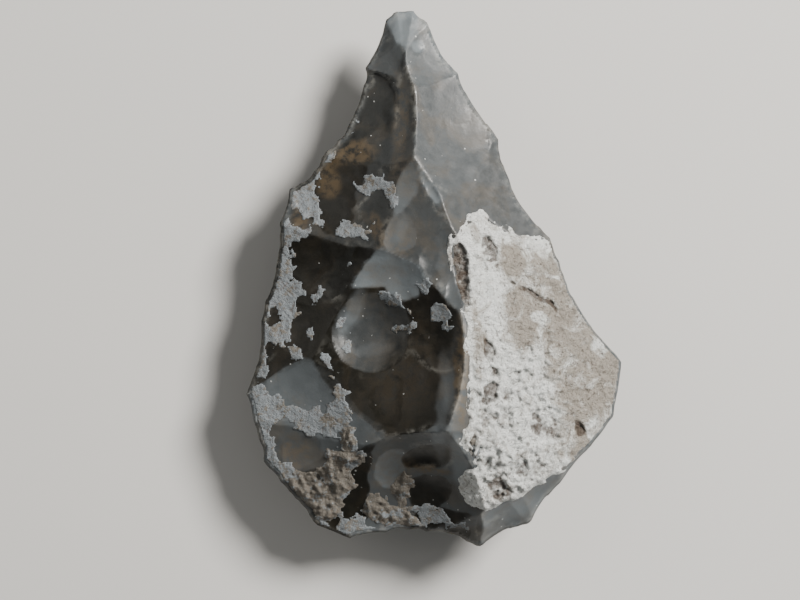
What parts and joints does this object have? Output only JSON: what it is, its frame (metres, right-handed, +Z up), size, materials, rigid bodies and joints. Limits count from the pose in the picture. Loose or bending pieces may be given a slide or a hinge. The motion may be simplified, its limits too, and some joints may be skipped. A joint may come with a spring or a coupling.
{
  "type": "stone hand axe",
  "caption": "Pointed flint hand axe with flake scars on both faces, a knife edge all round and chalky cortex left on one side.",
  "frame": {"origin": "centre of the footprint at the resting face", "axes": "+Y towards the point, +Z up from the resting face to the scarred upper face"},
  "size_m": [0.0982, 0.14, 0.043],
  "materials": {
    "flint": "satin"
  },
  "bodies": {
    "root": {"hand_axe": "flint"}
  },
  "joints": []
}
